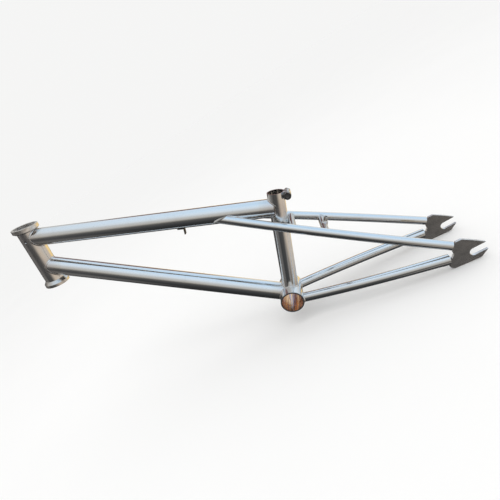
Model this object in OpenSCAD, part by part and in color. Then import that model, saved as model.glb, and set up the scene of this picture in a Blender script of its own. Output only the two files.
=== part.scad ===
// Bare freestyle bicycle frame, millimetres.
// +X points to the rear wheel, +Y to the drive side, +Z up.
// The origin is the centre of the bottom bracket shell.

/* [Frame layout] */
// Angle of the head tube from the horizontal
head_angle = 74.8; // [72:0.1:77]
// Angle of the seat tube from the horizontal
seat_angle = 70.7; // [69:0.1:73]
// Bottom bracket to the top of the upper headset cup, measured forwards
reach = 389; // [370:1:410]
// Bottom bracket to the top of the upper headset cup, measured upwards
stack = 387.7; // [375:0.1:400]
// Bottom bracket to the top of the seat tube, along the seat tube
seat_len = 217.8; // [210:0.1:235]
// Bottom bracket to the rear axle, measured rearwards
axle_back = 324.8; // [320:0.1:345]
// Bottom bracket to the rear axle, measured downwards
axle_drop = 37.2; // [34:0.1:42]
// Space between the inner faces of the two dropouts
hub_width = 110; // [108:1:114]

/* [Main tubes] */
// Outside diameter of the head tube
head_d = 39; // [38:0.5:41]
// Bore of the head tube, which takes the headset cups
head_bore = 34; // [33.9:0.1:34.2]
// Length of the head tube between the headset cups
head_len = 110; // [105:1:115]
// Outside diameter of the top tube
top_d = 34.6; // [31.8:0.1:35]
// Outside diameter of the down tube
down_d = 36.4; // [34.9:0.1:38.1]
// Outside diameter of the seat tube
seat_d = 31.8; // [31.6:0.1:33]
// Bore of the seat tube where it takes the seat post
post_bore = 27.3; // [27.2:0.05:27.6]
// Wall thickness of the top and down tubes
main_wall = 1.2; // [0.9:0.1:2]
// Top of the upper headset cup to the top tube's axis, along the head tube
top_tube_below = 24.6; // [24.5:0.1:30]
// Bottom of the lower headset cup to the down tube's axis, along the head tube
down_tube_above = 44.6; // [40:0.1:50]
// Top of the seat tube to the top tube's axis, along the seat tube
top_tube_below_seat = 29.2; // [27:0.1:32]

/* [Headset cups] */
// Height of the upper cup outside the head tube
upper_cup_h = 9.6; // [9:0.1:9.6]
// Height of the lower cup outside the head tube
lower_cup_h = 12; // [10:0.5:14]
// Outside diameter of the upper cup
upper_cup_d = 50.8; // [48:0.1:52]
// Outside diameter of the lower cup
lower_cup_d = 49.2; // [48:0.1:52]
// Diameter of the bearing seat in each cup
bearing_d = 41; // [41:0.1:42]

/* [Bottom bracket shell] */
// Width of the shell
shell_w = 73; // [68:1:76]
// Outside diameter of the shell
shell_d = 47.4; // [47:0.1:49]
// Bearing seat diameter
shell_bore = 41.2; // [41:0.1:41.6]

/* [Rear stays] */
// Outside diameter of the seat stays
seat_stay_d = 15.9; // [14:0.1:17]
// Outside diameter of the chain stays
chain_stay_d = 19; // [17:0.1:20]
// Wall thickness of the stays
stay_wall = 1.2; // [0.9:0.1:2]
// Outside diameter of the two bridge tubes
bridge_d = 12.7; // [10:0.1:13]

/* [Dropouts] */
// Thickness of the dropout plates
dropout_t = 5; // [4:0.5:6]
// Width of the axle slots
axle_slot_w = 14.3; // [10:0.1:14.5]

/* [Seat binder] */
// Width of the slit in the back of the seat tube
slit_w = 2.5; // [2:0.1:3.5]
// Outside diameter of the binder lugs
lug_d = 14; // [13:0.5:15]
// Diameter of the binder bolt
bolt_d = 8; // [8:0.1:8.2]
// Length of each binder lug across the frame
lug_len = 6.8; // [6:0.1:9]

/* [Hidden] */

$fn = 64;
far = 600;                 // longer than any piece of the frame
mitre_extra = 60;          // how far a mitre cutter runs past the tube it stands for
left = -1;
right = 1;
bare_metal = [0.72, 0.74, 0.77];
plate_metal = [0.42, 0.41, 0.40];
steel_bolt = [0.35, 0.36, 0.38];

// Directions along the head tube and the seat tube, pointing up
head_dir = [cos(head_angle), 0, sin(head_angle)];
seat_dir = [cos(seat_angle), 0, sin(seat_angle)];
seat_back = [sin(seat_angle), 0, -cos(seat_angle)];

// Centre-line points of the main tubes
head_top = [-reach, 0, stack];
cup_stack = upper_cup_h + head_len + lower_cup_h;
head_bottom = head_top - head_dir * cup_stack;
tube_top = head_top - head_dir * upper_cup_h;
tube_bottom = head_bottom + head_dir * lower_cup_h;
seat_top = seat_dir * seat_len;
top_front = head_top - head_dir * top_tube_below;
top_rear = seat_top - seat_dir * top_tube_below_seat;
down_front = head_bottom + head_dir * down_tube_above;
top_tube_stop = 7;         // the wider top tube ends this far in front of the seat tube's axis
down_rise = 1.5;           // the down tube's axis passes this far above the shell's centre
down_rear = [0, 0, down_rise];

// Rear axle and the plates that hold it
axle = [axle_back, 0, -axle_drop];
plate_y = hub_width / 2 + dropout_t / 2;

// Seat stay centre line on the right side, from the top tube to the dropout
stay_top = [-52, 12.3, 223.6];
stay_end = axle + [-29.5, plate_y, 27.2];
stay_bow = 6.1;
stay_tip = [-46, 0, 214.5];
stay_tip_slope = 180;      // the bevelled front end is level and faces up
stay_cap = 3.3;            // thickness of the closed stay ends

// Chain stay centre line on the right side, from the shell to the dropout
chain_front = [0, 22.5, -3.5];
chain_end = axle + [-28, plate_y, 1.5];
chain_bow = 4.6;
chain_cut = axle + [-40.5, 0, 0];
chain_cut_slope = -80;     // the bevelled rear end rises to the rear, degrees
arc_steps = 2400;          // facets of a full turn at the stays' large bend radius

// Directions along and square to the seat stays, seen from the side
stay_fall = atan2(stay_top.z - stay_end.z, stay_end.x - stay_top.x);
stay_run = [cos(stay_fall), 0, -sin(stay_fall)];
stay_up = [sin(stay_fall), 0, cos(stay_fall)];
chain_fall = atan2(chain_front.z - chain_end.z, chain_end.x - chain_front.x);

// Half the space between the seat stays' centre lines: the chord plus the bow
function stay_share(x) = (x - stay_top.x) / (stay_end.x - stay_top.x);
function stay_y(x) =
    stay_top.y + (stay_end.y - stay_top.y) * stay_share(x)
    + 4 * stay_bow * stay_share(x) * (1 - stay_share(x));

// Tabs of the dropouts inside the stays, and the axle slot
tab_len = 12;
tab_t = dropout_t - 0.6;   // the tabs are a little thinner than the plates
tab_root = 4;              // how far the tabs run back into the plate
seat_tab_w = 12;
chain_tab_w = 14;
slot_rise = 6;             // the slots open to the rear and rise by this, degrees
slot_reach = 40;

// Bridges between the seat stays
front_bridge_at = [72, 0, 140.3];
brake_bridge_at = [120.2, 0, 105.5];
boss_offset = 1.8;         // brake bridge to the boss, along the stays
boss_down = 2.8;           // boss length below the brake bridge's axis
boss_up = 6.6;             // boss length above it, to the foot of its sloping shoulder
boss_shoulder_h = 2.8;
boss_step_h = 7.7;         // height of the narrower nose above the shoulder
boss_step_d = 7.8;
boss_d = 10.8;
boss_at = brake_bridge_at + stay_run * boss_offset;
boss_hole = 5.2;
bridge_wall = 1.5;

// Seat binder, behind the top of the seat tube
bolt_below = 7.5;          // seat tube top to the bolt's axis, along the tube
bolt_behind = 20.4;        // seat tube axis to the bolt's axis
bolt_at = seat_top - seat_dir * bolt_below + seat_back * bolt_behind;
slit_len = 32;
slit_hole_d = 5;
washer_t = 1.5;
washer_d = 12.8;
bolt_head_d = 13;
bolt_head_h = 5;
bolt_len = 24;
socket_w = 6;              // across the flats of the hexagon socket
socket_depth = 3;
nut_d = 13;
nut_h = 6.5;
nut_turn = 60 - seat_angle;   // turns one flat of the nut to the seat tube
running_gap = 0.05;
loose_gap = 0.4;
lug_face = slit_w / 2 + lug_len;

// Cable stop under the top tube
stop_at = 0.635;           // share of the top tube's length from the head tube
stop_w = 8;
stop_foot = 14;
stop_leg = 13;
stop_t = 2.2;
stop_hole_d = 3;
stop_hole_down = 8;
stop_sink = 1.2;           // how far the foot is let into the round of the tube

// Seats and steps inside the cups, the shell and the seat tube
bearing_depth = 7;
upper_neck_step = 5;       // foot of the upper cup, wider than the head tube by this
lower_neck_step = 1;
upper_rim_h = 7;
lower_rim_h = 6;
spigot_len = 10;
cup_hole_d = 31;
shell_seat_depth = 19;
shell_inner_d = 39.6;
post_depth = 120;
seat_inner_d = 28.8;
head_hole_d = 4.2;         // for the tab screws of a cable rotor
head_hole_below = 26.4;

// Places the children with their Z axis running from point a towards point b
module aim(a, b) {
    d = b - a;
    translate(a)
        rotate([0, acos(d.z / norm(d)), atan2(d.y, d.x)])
            children();
}

// Round bar from a to b
module bar(a, b, d) {
    aim(a, b) cylinder(h = norm(b - a), d = d);
}

// Round bar from a to c along one arc, bowed towards +Y by the given height at mid length
module bowed_bar(a, c, bow, d) {
    chord = c - a;
    run = chord / norm(chord);
    out = [0, 1, 0] - run * run.y;
    bend_r = (norm(chord) * norm(chord) / 4 + bow * bow) / (2 * bow);
    hub = (a + c) / 2 - out / norm(out) * (bend_r - bow);
    from_hub = (a - hub) / bend_r;
    spin = cross(from_hub, c - hub) / norm(cross(from_hub, c - hub));
    ahead = cross(spin, from_hub);
    multmatrix([
        [from_hub.x, ahead.x, spin.x, hub.x],
        [from_hub.y, ahead.y, spin.y, hub.y],
        [from_hub.z, ahead.z, spin.z, hub.z],
        [0, 0, 0, 1]])
        rotate_extrude(angle = 2 * asin(norm(chord) / 2 / bend_r), $fn = arc_steps)
            translate([bend_r, 0]) circle(d = d, $fn = 64);
}

// Half space under a plane that runs across the frame through a point.
// The plane falls to the rear at the given slope, and 180 turns it over, so that the space above
// it is taken. Lift moves it along its normal.
module under_plane(point, slope, lift = 0) {
    translate(point)
        rotate([0, slope, 0])
            translate([-far / 2, -far / 2, lift - far])
                cube(far);
}

// Draws the right-hand piece, or its mirror image on the left
module on_side(side) {
    if (side == left) mirror([0, 1, 0]) children();
    else children();
}

// Bar across the frame, from one Y value to another
module cross_bar(at, y0, y1, d, sides = $fn) {
    translate([at.x, y0, at.z])
        rotate([-90, 0, 0])
            cylinder(h = y1 - y0, d = d, $fn = sides);
}

// Outer shapes, used for the pieces and for the mitres cut into their neighbours
module head_cutter() {
    bar(tube_bottom - head_dir * mitre_extra, tube_top + head_dir * mitre_extra, head_d);
}
module seat_outer() { bar([0, 0, 0], seat_top, seat_d); }
module top_outer() { bar(top_front, top_rear, top_d); }
module shell_outer() { cross_bar([0, 0, 0], -shell_w / 2, shell_w / 2, shell_d); }
module seat_stay_outer() {
    bowed_bar(stay_top, stay_end, stay_bow, seat_stay_d);
}
module chain_stay_outer() {
    bowed_bar(chain_front, chain_end, chain_bow, chain_stay_d);
}
module both_seat_stays() {
    for (side = [left, right]) on_side(side) seat_stay_outer();
}

module head_tube() {
    hole_at = head_top - head_dir * head_hole_below;
    color(bare_metal)
        difference() {
            bar(tube_bottom, tube_top, head_d);
            bar(tube_bottom - head_dir, tube_top + head_dir, head_bore);
            cross_bar(hole_at, -head_d, head_d, head_hole_d);
        }
}

// Headset cup with its spigot pointing down; Z = 0 is the end of the head tube
module headset_cup(height, rim_d, neck_d, rim_h) {
    difference() {
        union() {
            rotate_extrude()
                polygon([
                    [0, 0], [neck_d / 2, 0], [rim_d / 2, height - rim_h],
                    [rim_d / 2, height], [0, height]]);
            translate([0, 0, -spigot_len]) cylinder(h = spigot_len + 1, d = head_bore);
        }
        translate([0, 0, -spigot_len - 1]) cylinder(h = spigot_len + height + 2, d = cup_hole_d);
        translate([0, 0, height - bearing_depth]) cylinder(h = bearing_depth + 1, d = bearing_d);
    }
}

module upper_headset_cup() {
    color(bare_metal)
        aim(tube_top, head_top)
            headset_cup(upper_cup_h, upper_cup_d, head_d + upper_neck_step, upper_rim_h);
}

module lower_headset_cup() {
    color(bare_metal)
        aim(tube_bottom, head_bottom)
            headset_cup(lower_cup_h, lower_cup_d, head_d + lower_neck_step, lower_rim_h);
}

module top_tube() {
    color(bare_metal)
        difference() {
            top_outer();
            bar(top_front, top_rear, top_d - 2 * main_wall);
            head_cutter();
            seat_outer();
            aim([0, 0, 0], seat_top)
                translate([-top_tube_stop, -far / 2, 0])
                    cube(far);
        }
}

module down_tube() {
    color(bare_metal)
        difference() {
            bar(down_front, down_rear, down_d);
            bar(down_front, down_rear, down_d - 2 * main_wall);
            head_cutter();
            seat_outer();
            shell_outer();
        }
}

// Slit in the back of the seat tube, with a round hole at its foot
module slit() {
    foot = seat_top - seat_dir * slit_len;
    aim([0, 0, 0], seat_top)
        translate([0, -slit_w / 2, seat_len - slit_len])
            cube([seat_d, slit_w, slit_len + 1]);
    bar(foot, foot + seat_back * seat_d, slit_hole_d);
}

module seat_tube() {
    step_at = seat_top - seat_dir * post_depth;
    color(bare_metal)
        difference() {
            seat_outer();
            bar([0, 0, 0], step_at, seat_inner_d);
            bar(step_at - seat_dir, seat_top + seat_dir, post_bore);
            shell_outer();
            slit();
        }
}

module bottom_bracket_shell() {
    half = shell_w / 2;
    color(bare_metal)
        difference() {
            shell_outer();
            cross_bar([0, 0, 0], -half - 1, half + 1, shell_inner_d);
            cross_bar([0, 0, 0], -half - 1, -half + shell_seat_depth, shell_bore);
            cross_bar([0, 0, 0], half - shell_seat_depth, half + 1, shell_bore);
        }
}

// Bevelled and closed at the top tube, square and closed at the dropout
module seat_stay(side) {
    run = (stay_end - stay_top) / norm(stay_end - stay_top);
    color(bare_metal)
        on_side(side)
            difference() {
                seat_stay_outer();
                difference() {
                    bowed_bar(stay_top, stay_end - run * stay_cap, stay_bow, seat_stay_d - 2 * stay_wall);
                    under_plane(stay_tip, stay_tip_slope, stay_cap);
                }
                under_plane(stay_tip, stay_tip_slope);
                top_outer();
                plate();
            }
}

module left_seat_stay() { seat_stay(left); }
module right_seat_stay() { seat_stay(right); }

module chain_stay(side) {
    color(bare_metal)
        on_side(side)
            difference() {
                chain_stay_outer();
                difference() {
                    bowed_bar(chain_front, chain_end, chain_bow, chain_stay_d - 2 * stay_wall);
                    under_plane(chain_cut, chain_cut_slope, stay_cap);
                }
                under_plane(chain_cut, chain_cut_slope);
                shell_outer();
                seat_outer();
                plate();
            }
}

module left_chain_stay() { chain_stay(left); }
module right_chain_stay() { chain_stay(right); }

// Upright slab between two points of a dropout's side view, for its tabs
module tab(at, angle, from_at, to_at, width) {
    translate([at.x, plate_y - tab_t / 2, at.z])
        rotate([0, -angle, 0])
            translate([from_at, 0, -width / 2])
                cube([to_at - from_at, tab_t, width]);
}

// Right-hand dropout plate with a tab inside each stay and a slot open to the rear
module plate() {
    difference() {
        union() {
            translate([axle.x, plate_y + dropout_t / 2, axle.z])
                rotate([90, 0, 0])
                    linear_extrude(dropout_t)
                        polygon([
                            [-31.5, 18.9], [-22.5, 32.1], [-12.8, 32.7], [3, 22.6], [21, 9.6],
                            [21.6, -5.2], [9, -16], [-36, -17.8], [-42, -13.8], [-43.8, -7.8],
                            [-37, 1.5], [-30.4, 10.2]]);
            tab(stay_end, -stay_fall, -tab_len, tab_root, seat_tab_w);
            tab(chain_cut, -chain_fall, -tab_len, tab_root, chain_tab_w);
        }
        cross_bar(axle, 0, 2 * plate_y, axle_slot_w);
        translate([axle.x, 0, axle.z])
            rotate([0, -slot_rise, 0])
                translate([0, 0, -axle_slot_w / 2])
                    cube([slot_reach, 2 * plate_y, axle_slot_w]);
    }
}

module left_dropout() { color(plate_metal) on_side(left) plate(); }
module right_dropout() { color(plate_metal) on_side(right) plate(); }

module front_stay_bridge() {
    reach_y = stay_y(front_bridge_at.x);
    color(bare_metal)
        difference() {
            cross_bar(front_bridge_at, -reach_y, reach_y, bridge_d);
            cross_bar(front_bridge_at, -reach_y, reach_y, bridge_d - 2 * bridge_wall);
            seat_outer();
            both_seat_stays();
        }
}

module boss_outer() {
    bar(boss_at - stay_up * boss_down, boss_at + stay_up * boss_up, boss_d);
}

module brake_bridge() {
    reach_y = stay_y(brake_bridge_at.x);
    color(bare_metal)
        difference() {
            cross_bar(brake_bridge_at, -reach_y, reach_y, bridge_d);
            cross_bar(brake_bridge_at, -reach_y, reach_y, bridge_d - 2 * bridge_wall);
            boss_outer();
            both_seat_stays();
        }
}

module brake_boss() {
    shoulder = boss_at + stay_up * boss_up;
    nose = shoulder + stay_up * (boss_shoulder_h + boss_step_h);
    color(bare_metal)
        difference() {
            union() {
                boss_outer();
                aim(shoulder, nose) cylinder(h = boss_shoulder_h, d1 = boss_d, d2 = boss_step_d);
                bar(boss_at, nose, boss_step_d);
            }
            bar(boss_at - stay_up * (boss_down + 1), nose + stay_up, boss_hole);
        }
}

// One half of the clamp behind the seat tube
module binder_lug(side) {
    color(bare_metal)
        on_side(side)
            difference() {
                union() {
                    cross_bar(bolt_at, slit_w / 2, lug_face, lug_d);
                    translate([bolt_at.x, slit_w / 2, bolt_at.z])
                        rotate([0, 90 - seat_angle, 0])
                            translate([-bolt_behind, 0, -lug_d / 2])
                                cube([bolt_behind, lug_len, lug_d]);
                }
                seat_outer();
                cross_bar(bolt_at, 0, lug_face + 1, bolt_d + 2 * loose_gap);
            }
}

module left_binder_lug() { binder_lug(left); }
module right_binder_lug() { binder_lug(right); }

// Socket-head bolt, put in from the left
module binder_bolt() {
    under_head = -lug_face - washer_t;
    color(steel_bolt)
        difference() {
            union() {
                cross_bar(bolt_at, under_head - bolt_head_h, under_head, bolt_head_d);
                cross_bar(bolt_at, under_head - 1, under_head + bolt_len, bolt_d);
            }
            cross_bar(bolt_at, under_head - bolt_head_h - 1,
                under_head - bolt_head_h + socket_depth, socket_w / cos(30), 6);
        }
}

module binder_washer() {
    color(steel_bolt)
        difference() {
            cross_bar(bolt_at, -lug_face - washer_t, -lug_face, washer_d);
            cross_bar(bolt_at, -lug_face - washer_t - 1, 0, bolt_d + 2 * running_gap);
        }
}

module binder_nut() {
    color(steel_bolt)
        difference() {
            translate(bolt_at)
                rotate([0, nut_turn, 0])
                    cross_bar([0, 0, 0], lug_face, lug_face + nut_h, nut_d / cos(30), 6);
            cross_bar(bolt_at, lug_face - 1, lug_face + nut_h + 1, bolt_d + 2 * running_gap);
        }
}

// Bent strip under the top tube: a foot along the tube and a drilled leg
module cable_stop() {
    leg_at = norm(top_rear - top_front) * stop_at;
    color(steel_bolt)
        difference() {
            aim(top_front, top_rear)
                difference() {
                    union() {
                        translate([top_d / 2 - stop_sink, -stop_w / 2, leg_at - stop_foot])
                            cube([stop_sink + stop_t, stop_w, stop_foot]);
                        translate([top_d / 2 - stop_sink, -stop_w / 2, leg_at - stop_t])
                            cube([stop_sink + stop_leg, stop_w, stop_t]);
                    }
                    translate([top_d / 2 + stop_hole_down, 0, leg_at - stop_t - 1])
                        cylinder(h = stop_t + 2, d = stop_hole_d);
                }
            top_outer();
        }
}

head_tube();
upper_headset_cup();
lower_headset_cup();
top_tube();
down_tube();
seat_tube();
bottom_bracket_shell();
left_seat_stay();
right_seat_stay();
left_chain_stay();
right_chain_stay();
left_dropout();
right_dropout();
front_stay_bridge();
brake_bridge();
brake_boss();
left_binder_lug();
right_binder_lug();
binder_bolt();
binder_washer();
binder_nut();
cable_stop();
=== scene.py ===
import math

import bmesh
import bpy
from mathutils import Matrix, Vector
from mathutils.bvhtree import BVHTree


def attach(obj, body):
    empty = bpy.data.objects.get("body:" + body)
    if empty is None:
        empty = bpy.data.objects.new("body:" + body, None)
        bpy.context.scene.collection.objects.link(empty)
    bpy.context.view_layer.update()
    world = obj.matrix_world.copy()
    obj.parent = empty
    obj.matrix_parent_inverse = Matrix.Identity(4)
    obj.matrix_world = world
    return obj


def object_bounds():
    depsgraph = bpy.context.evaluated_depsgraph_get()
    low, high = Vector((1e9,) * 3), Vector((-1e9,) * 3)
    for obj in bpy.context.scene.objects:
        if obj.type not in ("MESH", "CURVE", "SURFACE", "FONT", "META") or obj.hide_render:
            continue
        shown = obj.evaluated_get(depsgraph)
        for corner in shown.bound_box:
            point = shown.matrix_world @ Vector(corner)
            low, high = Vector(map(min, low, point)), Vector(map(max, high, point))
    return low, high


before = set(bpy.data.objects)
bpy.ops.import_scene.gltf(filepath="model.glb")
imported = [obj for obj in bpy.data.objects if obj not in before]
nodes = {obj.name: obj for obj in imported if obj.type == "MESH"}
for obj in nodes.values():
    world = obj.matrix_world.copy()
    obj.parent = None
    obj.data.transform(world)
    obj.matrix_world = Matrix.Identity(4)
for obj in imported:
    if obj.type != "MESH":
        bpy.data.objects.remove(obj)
cad_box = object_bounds()

MM = 0.001


def mm(x, y, z):
    return Vector((x, y, z)) * MM


# ---------------------------------------------------------------- the frame's lines, as the CAD has them
HEAD_ANGLE = math.radians(74.8)
SEAT_ANGLE = math.radians(70.7)
HEAD_DIR = Vector((math.cos(HEAD_ANGLE), 0, math.sin(HEAD_ANGLE)))
SEAT_DIR = Vector((math.cos(SEAT_ANGLE), 0, math.sin(SEAT_ANGLE)))
HEAD_TOP = mm(-389, 0, 387.7)
HEAD_BOTTOM = HEAD_TOP - HEAD_DIR * 131.6 * MM
SEAT_TOP = SEAT_DIR * 217.8 * MM
TOP_FRONT = HEAD_TOP - HEAD_DIR * 24.6 * MM
TOP_REAR = SEAT_TOP - SEAT_DIR * 29.2 * MM
DOWN_FRONT = HEAD_BOTTOM + HEAD_DIR * 44.6 * MM
DOWN_REAR = mm(0, 0, 1.5)
TOP_R, DOWN_R, SEAT_R = (v * MM for v in (17.3, 18.2, 15.9))
SEAT_STAY_R, CHAIN_STAY_R, BRIDGE_R, BOSS_R = (v * MM for v in (7.95, 9.5, 6.35, 5.4))
PLATE_T = 5 * MM
AXLE_RIGHT = mm(324.8, 57.5, -37.2)      # axle line, in the middle of the right dropout's thickness
STAY_TOP = mm(-52, 12.3, 223.6)
STAY_END = AXLE_RIGHT + mm(-29.5, 0, 27.2)
STAY_BOW = 6.1 * MM
STAY_TIP_Z = 214.5 * MM
CHAIN_FRONT = mm(0, 22.5, -3.5)
CHAIN_END = AXLE_RIGHT + mm(-28, 0, 1.5)
CHAIN_BOW = 4.6 * MM
CHAIN_CUT = AXLE_RIGHT + mm(-40.5, 0, 0)
CHAIN_CUT_ANGLE = math.radians(80)
CHAIN_CUT_LINE = Vector((math.cos(CHAIN_CUT_ANGLE), 0, math.sin(CHAIN_CUT_ANGLE)))
FRONT_BRIDGE = mm(72, 0, 140.3)
BRAKE_BRIDGE = mm(120.2, 0, 105.5)
STAY_FALL = math.radians(33.925)
STAY_RUN = Vector((math.cos(STAY_FALL), 0, -math.sin(STAY_FALL)))
STAY_UP = Vector((math.sin(STAY_FALL), 0, math.cos(STAY_FALL)))
BOSS_AT = BRAKE_BRIDGE + STAY_RUN * 1.8 * MM

RIGHT = Vector((0, 1, 0))


# ---------------------------------------------------------------- materials
# orange that stands in for a warm reflection inside the bore, partly light rust: painted reflection
RUST_AND_REFLECTED_ORANGE = (0.98, 0.64, 0.36, 1)
RAW_WITHIN = 21.2 * MM       # the shell is raw nearer to its axis than this
RAW_FADE = 0.4 * MM          # width over which the raw look fades out beyond that
RAW_DULLNESS = 0.12
STRAW = (0.70, 0.63, 0.54, 1)
VIOLET = (0.60, 0.55, 0.58, 1)
TINT_WANDER = 4 * MM         # how far the heat tint's edge strays
PIT = (0.34, 0.32, 0.31, 1)


def srgb(r, g, b):
    def lin(v):
        v /= 255
        return v / 12.92 if v <= 0.04045 else ((v + 0.055) / 1.055) ** 2.4
    return (lin(r), lin(g), lin(b), 1.0)


class Nodes:
    """Short calls for building a node tree."""

    def __init__(self, tree):
        self.tree = tree
        tree.nodes.clear()

    def add(self, kind, **values):
        n = self.tree.nodes.new(kind)
        for field, value in values.items():
            setattr(n, field, value)
        return n

    def link(self, a, b):
        self.tree.links.new(a, b)

    def put(self, socket, value):
        if isinstance(value, bpy.types.NodeSocket):
            self.link(value, socket)
        else:
            socket.default_value = value

    def math(self, op, *values):
        n = self.add("ShaderNodeMath", operation=op)
        for socket, value in zip(n.inputs, values):
            self.put(socket, value)
        return n.outputs[0]

    def times(self, a, b):
        return self.math("MULTIPLY", a, b)

    def plus(self, a, b):
        return self.math("ADD", a, b)

    def vec(self, op, a, b=None, out=0):
        n = self.add("ShaderNodeVectorMath", operation=op)
        self.put(n.inputs[0], a)
        if b is not None:
            self.put(n.inputs[1], b)
        return n.outputs[out]

    def between(self, value, low, high, to_low=0.0, to_high=1.0, smooth=True):
        n = self.add("ShaderNodeMapRange",
                     interpolation_type="SMOOTHSTEP" if smooth else "LINEAR")
        self.put(n.inputs["Value"], value)
        limits = {"From Min": low, "From Max": high, "To Min": to_low, "To Max": to_high}
        for socket, limit in limits.items():
            n.inputs[socket].default_value = limit
        return n.outputs[0]

    def mix(self, share, a, b):
        n = self.add("ShaderNodeMix", data_type="RGBA")
        self.put(n.inputs[0], share)
        self.put(n.inputs[6], a)
        self.put(n.inputs[7], b)
        return n.outputs[2]

    def noise(self, where, scale, detail, rough=0.5):
        n = self.add("ShaderNodeTexNoise")
        self.link(where, n.inputs["Vector"])
        n.inputs["Scale"].default_value = scale
        n.inputs["Detail"].default_value = detail
        n.inputs["Roughness"].default_value = rough
        return n.outputs[0]

    def ramp(self, value, stops):
        n = self.add("ShaderNodeValToRGB")
        self.link(value, n.inputs[0])
        els = n.color_ramp.elements
        while len(els) > 1:
            els.remove(els[-1])
        els[0].position, els[0].color = stops[0]
        for at, colour in stops[1:]:
            e = els.new(at)
            e.color = colour
        return n.outputs[0]


def shader(name, metallic, rest):
    m = bpy.data.materials.new(name)
    m.use_nodes = True
    n = Nodes(m.node_tree)
    out = n.add("ShaderNodeOutputMaterial")
    b = n.add("ShaderNodeBsdfPrincipled")
    n.link(b.outputs[0], out.inputs["Surface"])
    b.inputs["Metallic"].default_value = metallic
    for k, v in rest.items():
        b.inputs[k].default_value = v
    where = n.add("ShaderNodeTexCoord").outputs["Object"]
    return m, n, b, where


def bump(n, b, height, distance, strength=0.5):
    k = n.add("ShaderNodeBump")
    k.inputs["Strength"].default_value = strength
    k.inputs["Distance"].default_value = distance
    n.link(height, k.inputs["Height"])
    n.link(k.outputs[0], b.inputs["Normal"])


def along(n, where, direction, stretch):
    """The place on the surface, squeezed along one direction, so that noise draws long marks that way."""
    d = n.vec("DOT_PRODUCT", where, tuple(direction), out=1)
    back = n.add("ShaderNodeVectorMath", operation="SCALE")
    back.inputs[0].default_value = tuple(direction)
    n.link(n.times(d, stretch - 1), back.inputs["Scale"])
    return n.vec("ADD", where, back.outputs[0])


def near_y_axis(n, where, radius):
    """1 nearer to the Y axis than radius, fading to 0 just beyond it."""
    apart = n.add("ShaderNodeSeparateXYZ")
    n.link(where, apart.inputs[0])
    x, _, z = apart.outputs
    from_axis = n.math("SQRT", n.plus(n.times(x, x), n.times(z, z)))
    return n.between(from_axis, radius + RAW_FADE, radius, smooth=False)


def rust_and_reflection_bands(n, where):
    """Long bands of painted reflection and light rust, which run the length of the bore: the dark and
    pale stripes stand in for surroundings mirrored in the bore, and the orange for a warm reflection.
    """
    lengthwise = along(n, where, RIGHT, 0.05)
    streak = n.noise(lengthwise, 95, 3, 0.6)
    fine = n.noise(lengthwise, 420, 2, 0.6)
    return n.ramp(n.plus(n.times(streak, 0.92), n.times(fine, 0.08)), [
        (0.36, (0.10, 0.07, 0.08, 1)), (0.45, RUST_AND_REFLECTED_ORANGE), (0.50, (0.40, 0.20, 0.13, 1)),
        (0.55, (0.62, 0.57, 0.66, 1)), (0.64, RUST_AND_REFLECTED_ORANGE)])


def heat_tint(n, where, clouds, joint, colour, roughness):
    """Straw around one welded joint, given as (point, reach), and violet close to it."""
    point, reach = joint
    edge = n.plus(n.vec("DISTANCE", where, tuple(point), out=1),
                  n.between(clouds, 0.3, 0.7, -TINT_WANDER, TINT_WANDER))
    near = n.between(edge, reach, reach * 0.55)
    straw = n.between(edge, reach * 1.25, reach)
    colour = n.mix(n.times(straw, 0.25), colour, STRAW)
    colour = n.mix(n.times(near, 0.3), colour, VIOLET)
    return colour, n.plus(roughness, n.times(near, 0.08))


def polished(name, grain_dir, joints=(), raw_within=None, base=(0.80, 0.805, 0.81), rough=0.13):
    """Bare polished steel: long fine polishing marks, cloudy dull patches, and heat tint near the joints.
    joints are (point, reach) pairs. Nearer to the Y axis than raw_within the metal is a raw bore,
    coloured with painted reflection and light rust."""
    m, n, b, where = shader(name, 1.0, {})
    drawn = along(n, where, grain_dir, 0.06)
    marks = n.noise(drawn, 900, 4, 0.65)
    clouds = n.noise(where, 38, 4, 0.6)
    specks = n.noise(where, 420, 2)
    dull = n.between(clouds, 0.5, 0.85, 0, 0.7)
    bright = (*base, 1)
    clouded = (base[0] * 0.9, base[1] * 0.89, base[2] * 0.88, 1)
    colour = n.mix(dull, bright, clouded)
    colour = n.mix(n.between(specks, 0.68, 0.76, 0, 0.3), colour, PIT)
    roughness = n.plus(n.between(marks, 0.3, 0.75, rough - 0.03, rough + 0.05, smooth=False),
                       n.times(dull, 0.04))
    for joint in joints:
        colour, roughness = heat_tint(n, where, clouds, joint, colour, roughness)
    if raw_within:
        inside = near_y_axis(n, where, raw_within)
        # inside the bore the colour is painted reflection bands and light rust
        colour = n.mix(inside, colour, rust_and_reflection_bands(n, where))
        roughness = n.plus(roughness, n.times(inside, RAW_DULLNESS))
    n.link(colour, b.inputs["Base Color"])
    n.link(roughness, b.inputs["Roughness"])
    bump(n, b, n.plus(n.times(marks, 0.4), specks), 0.02 * MM)
    return m


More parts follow.
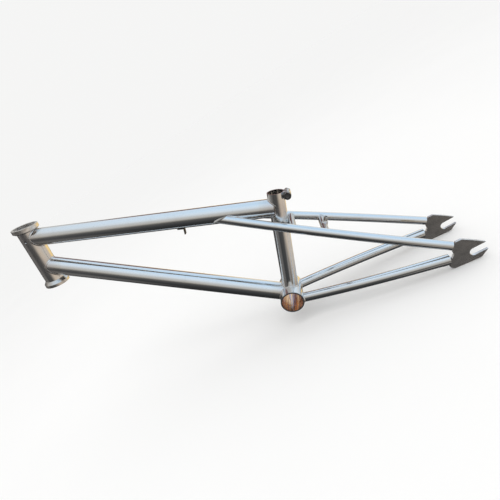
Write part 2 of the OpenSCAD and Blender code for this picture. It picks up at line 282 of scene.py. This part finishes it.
def plate_steel(name):
    """Dull plate: mottled, with grit and faint rolling marks on its flat faces and bright cut edges."""
    m, n, b, where = shader(name, 1.0, {})
    blotch = n.noise(where, 85, 5, 0.65)
    grit = n.noise(where, 1400, 3, 0.7)
    rolled = n.noise(along(n, where, (1, 0, 0), 0.1), 700, 2)
    facing = n.add("ShaderNodeSeparateXYZ")
    n.link(n.add("ShaderNodeTexCoord").outputs["Normal"], facing.inputs[0])
    cut_edge = n.between(n.math("ABSOLUTE", facing.outputs[1]), 0.75, 0.5)
    face = n.mix(n.between(blotch, 0.35, 0.7), (0.355, 0.362, 0.375, 1), (0.27, 0.275, 0.285, 1))
    face = n.mix(n.between(grit, 0.6, 0.72, 0, 0.5), face, (0.18, 0.18, 0.185, 1))
    bright = n.mix(n.between(blotch, 0.4, 0.65), (0.86, 0.84, 0.83, 1), (0.66, 0.62, 0.60, 1))
    n.link(n.mix(cut_edge, face, bright), b.inputs["Base Color"])
    n.link(n.between(n.plus(n.times(grit, 0.5), n.times(rolled, 0.5)),
                     0.35, 0.65, 0.2, 0.33, smooth=False), b.inputs["Roughness"])
    bump(n, b, n.plus(grit, rolled), 0.04 * MM)
    return m


def turned(name, base, low, high, axis, rings=1500):
    """Turned or plated metal: fine rings square to its axis, stains and small scuffs.
    low and high are the ends of its roughness."""
    m, n, b, where = shader(name, 1.0, {})
    run = n.vec("DOT_PRODUCT", where, tuple(axis), out=1)
    lathe = n.add("ShaderNodeTexNoise", noise_dimensions="1D")
    n.link(run, lathe.inputs["W"])
    lathe.inputs["Scale"].default_value = rings
    stain = n.noise(where, 120, 4, 0.6)
    scuff = n.noise(where, 700, 2, 0.6)
    dark = tuple(v * 0.62 for v in base)
    colour = n.mix(n.between(stain, 0.4, 0.72), (*base, 1), (*dark, 1))
    colour = n.mix(n.between(scuff, 0.62, 0.7, 0, 0.5), colour, (0.62, 0.61, 0.60, 1))
    n.link(colour, b.inputs["Base Color"])
    worn = n.plus(n.times(lathe.outputs[0], 0.6), n.times(scuff, 0.4))
    n.link(n.between(worn, 0.35, 0.65, low, high, smooth=False), b.inputs["Roughness"])
    bump(n, b, n.plus(lathe.outputs[0], n.times(scuff, 0.5)), 0.03 * MM)
    return m


def blackened(name):
    """Dark oxide finish, patchy and half dull."""
    m, n, b, where = shader(name, 0.6, {})
    patch = n.noise(where, 350, 4, 0.6)
    colour = n.mix(n.between(patch, 0.4, 0.7), (0.012, 0.012, 0.014, 1), (0.05, 0.045, 0.04, 1))
    n.link(colour, b.inputs["Base Color"])
    n.link(n.between(patch, 0.3, 0.7, 0.3, 0.55, smooth=False), b.inputs["Roughness"])
    bump(n, b, patch, 0.05 * MM, 0.6)
    return m


def weld_metal(name):
    """Weld bead: bright ripples with straw, brown and violet heat colours in patches."""
    m, n, b, where = shader(name, 1.0, {})
    hue = n.noise(where, 150, 3, 0.6)
    soot = n.noise(where, 600, 3, 0.6)
    colour = n.ramp(hue, [(0.34, (0.80, 0.80, 0.80, 1)), (0.50, (0.76, 0.72, 0.68, 1)),
                          (0.60, (0.66, 0.58, 0.54, 1)), (0.72, (0.62, 0.60, 0.68, 1))])
    colour = n.mix(n.between(soot, 0.6, 0.78, 0, 0.5), colour, (0.35, 0.32, 0.31, 1))
    n.link(colour, b.inputs["Base Color"])
    n.link(n.between(soot, 0.3, 0.7, 0.2, 0.4, smooth=False), b.inputs["Roughness"])
    bump(n, b, soot, 0.06 * MM)
    return m


def dress(node, material):
    """Gives a CAD node one material."""
    o = nodes[node]
    if not o.material_slots:
        o.data.materials.append(None)
    for s in o.material_slots:
        s.link = "OBJECT"
        s.material = material


top_dir = (TOP_REAR - TOP_FRONT).normalized()
down_dir = (DOWN_REAR - DOWN_FRONT).normalized()
dress("head_tube", polished("polished_head", HEAD_DIR, [(TOP_FRONT, 34 * MM), (DOWN_FRONT, 34 * MM)]))
dress("top_tube", polished("polished_top", top_dir, [(TOP_FRONT, 36 * MM), (TOP_REAR, 34 * MM)]))
dress("down_tube", polished("polished_down", down_dir, [(DOWN_FRONT, 36 * MM), (DOWN_REAR, 40 * MM)]))
dress("seat_tube", polished("polished_seat", SEAT_DIR, [(TOP_REAR, 26 * MM), (DOWN_REAR, 36 * MM)]))
dress("bottom_bracket_shell", polished("polished_shell", RIGHT, [(mm(0, 0, 24), 12 * MM)],
                                       raw_within=RAW_WITHIN))
seat_stay_metal = polished("polished_seat_stays", (STAY_END - STAY_TOP).normalized())
chain_stay_metal = polished("polished_chain_stays", (CHAIN_END - CHAIN_FRONT).normalized())
bridge_metal = polished("polished_bridges", RIGHT, base=(0.66, 0.63, 0.60), rough=0.17)
lug_metal = polished("polished_lugs", RIGHT, rough=0.2)
for side in ("left", "right"):
    dress(side + "_seat_stay", seat_stay_metal)
    dress(side + "_chain_stay", chain_stay_metal)
    dress(side + "_dropout", plate_steel("cut_plate_" + side))
    dress(side + "_binder_lug", lug_metal)
for name in ("front_stay_bridge", "brake_bridge", "brake_boss"):
    dress(name, bridge_metal)
# the upper cup's paler base colour is painted light: it lightens the cup's open interior, which would
# look dark otherwise
dress("upper_headset_cup", turned("turned_upper_cup", (0.84, 0.81, 0.78), 0.24, 0.38, HEAD_DIR))
dress("lower_headset_cup", turned("turned_lower_cup", (0.72, 0.70, 0.68), 0.16, 0.30, HEAD_DIR))
bolt_metal = turned("plated_bolt", (0.30, 0.30, 0.31), 0.2, 0.36, RIGHT, 2500)
for name in ("binder_bolt", "binder_washer", "binder_nut"):
    dress(name, bolt_metal)
dress("cable_stop", blackened("blackened_stop"))
bead_metal = weld_metal("weld_bead")

# ---------------------------------------------------------------- weld beads
RIPPLE_PITCH = 1.5 * MM
RIPPLE_DEPTH = 0.13          # share of the leg
BEAD_SINK = 0.12             # share of the leg by which a bead's root lies under the surfaces
SHORTEST_BEAD = 9            # rays in a row that have to hit
PROFILE_POINTS = 7           # from one leg's tip to the other's
END_SIZE = 0.45              # an open bead's size at its two ends, as a share of its full size
END_LEGS = 1.6               # length of those tapered ends, in legs
FACE_LEVEL = 0.837           # how far the face stands out between the tips, against a reach of 1
FACE_CROWN = 0.135           # how much further it stands out midway
FACE_SINK = 0.25             # share of the root's sink that the face takes too
RAY_REACH = 200 * MM


def bead(name, samples, closed, leg):
    """Sweeps a rippled fillet along samples, which are (corner, one leg's direction, the other's)."""
    bm = bmesh.new()
    rows, run = [], 0.0
    total = sum((samples[i][0] - samples[i - 1][0]).length for i in range(1, len(samples)))
    waves = max(2, round(total / RIPPLE_PITCH))
    for i, (p, a, b) in enumerate(samples):
        if i:
            run += (p - samples[i - 1][0]).length
        phase = run / total * waves
        ripple = 1 + RIPPLE_DEPTH * (abs(math.sin(math.pi * phase)) - 0.5)
        fade = 1.0
        if not closed:
            fade = END_SIZE + (1 - END_SIZE) * min(1, min(run, total - run) / (END_LEGS * leg))
        reach = leg * ripple * fade
        sink = (a + b) * (-BEAD_SINK * leg)
        row = [bm.verts.new(p + sink)]
        for k in range(PROFILE_POINTS):
            t = k / (PROFILE_POINTS - 1) * math.pi / 2
            along_a, along_b = math.cos(t), math.sin(t)
            # the legs' tips lie at full reach, and between them the face is nearly flat
            s = reach
            if 0 < k < PROFILE_POINTS - 1:
                s *= (FACE_LEVEL + FACE_CROWN * math.sin(2 * t) * ripple) / (along_a + along_b)
            row.append(bm.verts.new(p + a * (along_a * s) + b * (along_b * s) + sink * FACE_SINK))
        rows.append(row)
    pairs = list(zip(rows, rows[1:])) + ([(rows[-1], rows[0])] if closed else [])
    width = len(rows[0])
    for one, two in pairs:
        for k in range(width):
            j = (k + 1) % width
            bm.faces.new((one[k], one[j], two[j], two[k]))
    if not closed:
        bm.faces.new(rows[0][::-1])
        bm.faces.new(rows[-1])
    bmesh.ops.recalc_face_normals(bm, faces=bm.faces)
    mesh = bpy.data.meshes.new(name)
    bm.to_mesh(mesh)
    bm.free()
    for poly in mesh.polygons:
        poly.use_smooth = True
    mesh.materials.append(bead_metal)
    o = bpy.data.objects.new(name, mesh)
    bpy.context.scene.collection.objects.link(o)
    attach(o, "frame")


def tree_of(*names):
    """The surfaces of some CAD nodes, for casting rays at."""
    verts, faces = [], []
    for name in names:
        base = len(verts)
        verts += [v.co.copy() for v in nodes[name].data.vertices]
        faces += [tuple(base + i for i in p.vertices) for p in nodes[name].data.polygons]
    return BVHTree.FromPolygons(verts, faces)


def across(direction):
    """Two directions square to the given one and to each other."""
    one = direction.cross(RIGHT)
    # a direction close to RIGHT gives a poor product, so another axis is taken
    if one.length < 0.3:
        one = direction.cross(Vector((1, 0, 0)))
    one.normalize()
    return one, direction.cross(one).normalized()


def ring_samples(start, toward, radius, others, count):
    """Casts rays along a tube's surface at the pieces it is welded to.
    Gives (corner, along the other piece, along the tube) for each ray, or None where it misses."""
    e1, e2 = across(toward)
    out = []
    for i in range(count):
        t = 2 * math.pi * i / count
        rim = e1 * math.cos(t) + e2 * math.sin(t)
        hit, normal, _, _ = others.ray_cast(start + rim * radius, toward, RAY_REACH)
        if hit is None:
            out.append(None)
            continue
        if normal.dot(toward) > 0:
            normal = -normal
        flat = rim - normal * rim.dot(normal)
        flat = flat.normalized() if flat.length > 0.15 else rim
        out.append((hit, flat, -toward))
    return out


def weld_ring(name, start, toward, radius, others, leg, count=220):
    """One closed bead around a tube's end, or open beads where only parts of its rim meet the others."""
    samples = ring_samples(start, toward, radius, others, count)
    if all(samples):
        bead(name, samples, True, leg)
        return
    first = samples.index(None)
    made, part = 0, []
    for s in samples[first:] + samples[:first] + [None]:
        if s is not None:
            part.append(s)
            continue
        if len(part) >= SHORTEST_BEAD:
            made += 1
            bead(f"{name}_{made}", part, False, leg)
        part = []


head_tree = tree_of("head_tube")
seat_tree = tree_of("seat_tube")
shell_tree = tree_of("bottom_bracket_shell")
foot_tree = tree_of("bottom_bracket_shell", "seat_tube")
MAIN_LEG, TUCKED_LEG, STAY_LEG, SMALL_LEG = 1.9 * MM, 1.5 * MM, 1.9 * MM, 1.4 * MM
weld_ring("weld_top_head", TOP_FRONT + top_dir * (60 * MM), -top_dir, TOP_R, head_tree, MAIN_LEG)
weld_ring("weld_down_head", DOWN_FRONT + down_dir * (70 * MM), -down_dir, DOWN_R, head_tree, MAIN_LEG)
weld_ring("weld_top_seat", TOP_REAR - top_dir * (60 * MM), top_dir, TOP_R, seat_tree, TUCKED_LEG)
weld_ring("weld_down_foot", DOWN_REAR - down_dir * (90 * MM), down_dir, DOWN_R, foot_tree, MAIN_LEG)
weld_ring("weld_seat_shell", SEAT_DIR * (50 * MM), -SEAT_DIR, SEAT_R, shell_tree, MAIN_LEG)


def bow_ends(a, c, bow):
    """Directions of a bowed stay's centre line at its two ends."""
    chord = c - a
    run = chord.normalized()
    out = RIGHT - run * run.y
    out.normalize()
    lean = 2 * math.atan(2 * bow / chord.length)
    return (run * math.cos(lean) + out * math.sin(lean),
            run * math.cos(lean) - out * math.sin(lean))


def mirror(v):
    """The same place or direction on the left side."""
    return Vector((v.x, -v.y, v.z))


def unchanged(v):
    """The right side's places and directions, as they are."""
    return v


def bow_point(a, c, bow, share):
    """Centre line point of a bowed stay and the direction there."""
    first, last = bow_ends(a, c, bow)
    chord = c - a
    out = (first - last).normalized()
    point = a + chord * share + out * (4 * bow * share * (1 - share))
    return point, (first * (1 - share) + last * share).normalized()


SEAM_TURNS = 180             # steps around the stay when looking for the seam
SEAM_STEPS = 200             # steps along the stay
SEAM_STEP = 0.0009           # length of one such step, as a share of the stay's length
SEAM_CLEAR = 0.5 * MM        # the seam ends this far below the stay's tip


def top_tube_side(q):
    """How far a point lies from the top tube's axis, as a vector square to it."""
    w = q - TOP_FRONT
    return w - top_dir * w.dot(top_dir)


def seam_corners(share):
    """Bead samples where the right seat stay's surface crosses the top tube's, at one share of the
    stay's length, lowest first. Their legs run outward along the two surfaces."""
    middle, run = bow_point(STAY_TOP, STAY_END, STAY_BOW, share)
    e1, e2 = across(run)

    def rim_at(t):
        return e1 * math.cos(t) + e2 * math.sin(t)

    def gap(t):
        return top_tube_side(middle + rim_at(t) * SEAT_STAY_R).length - TOP_R

    corners = []
    for k in range(SEAM_TURNS):
        t0, t1 = 2 * math.pi * k / SEAM_TURNS, 2 * math.pi * (k + 1) / SEAM_TURNS
        g0, g1 = gap(t0), gap(t1)
        if g0 * g1 >= 0:
            continue
        rim = rim_at(t0 + (t1 - t0) * g0 / (g0 - g1))
        corner = middle + rim * SEAT_STAY_R
        if corner.z > STAY_TIP_Z - SEAM_CLEAR:
            continue
        normal = top_tube_side(corner).normalized()
        corners.append((corner, (rim - normal * rim.dot(normal)).normalized(),
                        (normal - rim * normal.dot(rim)).normalized()))
    return sorted(corners, key=lambda corner: corner[0].z)


SIDES = (("left", mirror), ("right", unchanged))
chain_first, _ = bow_ends(CHAIN_FRONT, CHAIN_END, CHAIN_BOW)
chain_start = CHAIN_FRONT + chain_first * (60 * MM)
seam = [corners for corners in map(seam_corners, (i * SEAM_STEP for i in range(SEAM_STEPS)))
        if len(corners) >= 2]
for side, keep in SIDES:
    weld_ring(f"weld_{side}_chain_stay", keep(chain_start), keep(-chain_first), CHAIN_STAY_R,
              shell_tree, STAY_LEG)
    # two long seams along the top tube's side, which meet at the rear
    both = [corners[-1] for corners in seam] + [corners[0] for corners in reversed(seam)]
    bead(f"weld_{side}_seat_stay", [tuple(keep(v) for v in corner) for corner in both], False, STAY_LEG)

END_SAMPLES = 25


def end_beads(name, middle, line, run, radius, keep):
    """The two short beads where a stay's end stands against the plate's faces."""
    half = math.sqrt(radius ** 2 - (PLATE_T / 2) ** 2)
    for tag, face in (("outer", RIGHT), ("inner", -RIGHT)):
        foot = middle + face * (PLATE_T / 2)
        samples = []
        for i in range(END_SAMPLES):
            share = 2 * i / (END_SAMPLES - 1) - 1
            samples.append((keep(foot + line * (half * share)), keep(face), keep(run)))
        bead(f"{name}_{tag}", samples, False, STAY_LEG)


bridge_tree = tree_of("brake_bridge")
_, stay_rear = bow_ends(STAY_TOP, STAY_END, STAY_BOW)
stay_upright = stay_rear.cross(RIGHT).normalized()
stay_square = RIGHT.cross(stay_upright)
chain_square = Vector((CHAIN_CUT_LINE.z, 0, -CHAIN_CUT_LINE.x))
for side, keep in SIDES:
    stay_tree = tree_of(side + "_seat_stay")
    for name, middle in (("front_bridge", FRONT_BRIDGE), ("brake_bridge", BRAKE_BRIDGE)):
        weld_ring(f"weld_{side}_{name}", middle, keep(RIGHT), BRIDGE_R, stay_tree, SMALL_LEG, count=90)
    end_beads(f"weld_{side}_seat_stay_end", STAY_END, stay_upright, stay_square, SEAT_STAY_R, keep)
    end_beads(f"weld_{side}_chain_stay_end", CHAIN_CUT, CHAIN_CUT_LINE, chain_square, CHAIN_STAY_R, keep)
weld_ring("weld_brake_boss", BOSS_AT + STAY_UP * 20 * MM, -STAY_UP, BOSS_R, bridge_tree, SMALL_LEG,
          count=90)

# ---------------------------------------------------------------- camera
EYE = mm(149.23, -615.49, 380.05)
VIEW = Vector((-0.28833, 0.87221, -0.39511)).normalized()
VIEW_UP = Vector((0.42272, 0.48620, 0.76480))
view_right = VIEW.cross(VIEW_UP).normalized()
view_up = view_right.cross(VIEW)
camera_data = bpy.data.cameras.new("camera")
camera_data.sensor_width = 36
camera_data.lens = 25.23
camera_data.shift_x = 0.0112
camera_data.shift_y = 0.0323
camera_data.clip_start = 0.01
camera = bpy.data.objects.new("camera", camera_data)
camera.matrix_world = Matrix((
    (view_right.x, view_up.x, -VIEW.x, EYE.x),
    (view_right.y, view_up.y, -VIEW.y, EYE.y),
    (view_right.z, view_up.z, -VIEW.z, EYE.z),
    (0, 0, 0, 1)))
bpy.context.scene.collection.objects.link(camera)
bpy.context.scene.camera = camera
bpy.context.scene.view_settings.view_transform = "Standard"

# ---------------------------------------------------------------- floor
FLOOR_HALF = 40.0
FLOOR_Z = cad_box[0][2] - 0.5 * MM
floor_mesh = bpy.data.meshes.new("floor")
floor_mesh.from_pydata([(-FLOOR_HALF, -FLOOR_HALF, FLOOR_Z), (FLOOR_HALF, -FLOOR_HALF, FLOOR_Z),
                        (FLOOR_HALF, FLOOR_HALF, FLOOR_Z), (-FLOOR_HALF, FLOOR_HALF, FLOOR_Z)],
                       [], [(0, 1, 2, 3)])
floor = bpy.data.objects.new("floor", floor_mesh)
bpy.context.scene.collection.objects.link(floor)
floor_paint, n, b, where = shader("pale_floor", 0.0, {"Roughness": 0.9, "Specular IOR Level": 0.0})
n.link(n.mix(n.noise(where, 3, 2), (0.93, 0.93, 0.925, 1), (0.95, 0.95, 0.945, 1)),
       b.inputs["Base Color"])
floor.data.materials.append(floor_paint)
floor.visible_glossy = False

# ---------------------------------------------------------------- surroundings that the metal reflects
# the frame stands tilted in these surroundings, so their up is not its own
WORLD_UP = Vector((0.559, 0, 0.829)).normalized()
AHEAD = (VIEW - WORLD_UP * VIEW.dot(WORLD_UP)).normalized()
ASIDE = AHEAD.cross(WORLD_UP)


def towards(azimuth, elevation):
    """A direction from degrees to the right of the camera's heading and degrees above the level."""
    az, el = math.radians(azimuth), math.radians(elevation)
    return (AHEAD * math.cos(az) + ASIDE * math.sin(az)) * math.cos(el) + WORLD_UP * math.sin(el)


GROUND_TILT = math.radians(10)
ground_normal = WORLD_UP * math.cos(GROUND_TILT) + towards(30, 0) * math.sin(GROUND_TILT)
world = bpy.data.worlds.new("studio")
bpy.context.scene.world = world
world.use_nodes = True
n = Nodes(world.node_tree)
out = n.add("ShaderNodeOutputWorld")
direction = n.add("ShaderNodeTexCoord").outputs["Generated"]
height = n.vec("DOT_PRODUCT", direction, tuple(ground_normal), out=1)
wander = n.noise(direction, 2.2, 3)
height = n.plus(height, n.between(wander, 0.2, 0.8, -0.05, 0.05, smooth=False))


def at(elevation):
    """Where an elevation in degrees lies on the sky's ramp."""
    return math.sin(math.radians(elevation)) * 0.5 + 0.5


# 0 on the ramp is straight below, and 1 is straight above
sky = n.ramp(n.math("MULTIPLY_ADD", height, 0.5, 0.5), [
    (at(-80), srgb(44, 45, 46)), (at(-45), srgb(62, 63, 64)), (at(-26), srgb(78, 77, 76)),
    (at(-16), srgb(104, 102, 99)), (at(-9), srgb(158, 154, 147)), (at(4), srgb(188, 187, 183)),
    (at(18), srgb(196, 198, 198)), (at(32), srgb(214, 224, 232)), (at(48), srgb(214, 231, 246)),
    (at(66), srgb(205, 229, 250)), (at(85), srgb(186, 216, 242))])


def patch(azimuth, elevation, size, soft):
    """1 within size degrees of a direction, fading to 0 over soft degrees more."""
    facing = n.vec("DOT_PRODUCT", direction, tuple(towards(azimuth, elevation)), out=1)
    return n.between(facing, math.cos(math.radians(size + soft)), math.cos(math.radians(size)))


level = n.vec("DOT_PRODUCT", direction, tuple(WORLD_UP), out=1)
band = n.times(n.between(level, math.sin(math.radians(-24)), math.sin(math.radians(-12))),
               n.between(level, math.sin(math.radians(12)), 0))
warm = n.times(band, patch(80, -5, 50, 45))
glow = n.times(band, patch(15, -4, 18, 22))
for share, strength, tint in ((warm, 0.85, srgb(208, 194, 178)), (glow, 0.9, srgb(255, 224, 158)),
                              (patch(-18, 17, 12, 8), 0.9, srgb(98, 58, 52)),
                              (patch(-105, -44, 12, 24), 0.8, srgb(112, 110, 108)),
                              (patch(150, -30, 6, 8), 0.8, srgb(150, 146, 142))):
    sky = n.mix(n.times(share, strength), sky, tint)

# glossy rays see the sky, camera rays a plain backdrop, and all other rays a white dome
mirror_light = n.add("ShaderNodeBackground")
n.link(sky, mirror_light.inputs["Color"])
mirror_light.inputs["Strength"].default_value = 1.12
room_light = n.add("ShaderNodeBackground")
room_light.inputs["Color"].default_value = (1, 1, 1, 1)
room_light.inputs["Strength"].default_value = 0.97
backdrop = n.add("ShaderNodeBackground")
backdrop.inputs["Color"].default_value = (0.915, 0.915, 0.91, 1)
ray = n.add("ShaderNodeLightPath")
lit = n.add("ShaderNodeMixShader")
n.link(ray.outputs["Is Glossy Ray"], lit.inputs[0])
n.link(room_light.outputs[0], lit.inputs[1])
n.link(mirror_light.outputs[0], lit.inputs[2])
seen = n.add("ShaderNodeMixShader")
n.link(ray.outputs["Is Camera Ray"], seen.inputs[0])
n.link(lit.outputs[0], seen.inputs[1])
n.link(backdrop.outputs[0], seen.inputs[2])
n.link(seen.outputs[0], out.inputs["Surface"])

# ---------------------------------------------------------------- key light
key_data = bpy.data.lights.new("key", "AREA")
key_data.shape = "DISK"
key_data.size = 1.6
key_data.energy = 6
key = bpy.data.objects.new("key", key_data)
key.matrix_world = Matrix.Translation((0.1, -0.3, 2.2))
key.visible_glossy = False
bpy.context.scene.collection.objects.link(key)
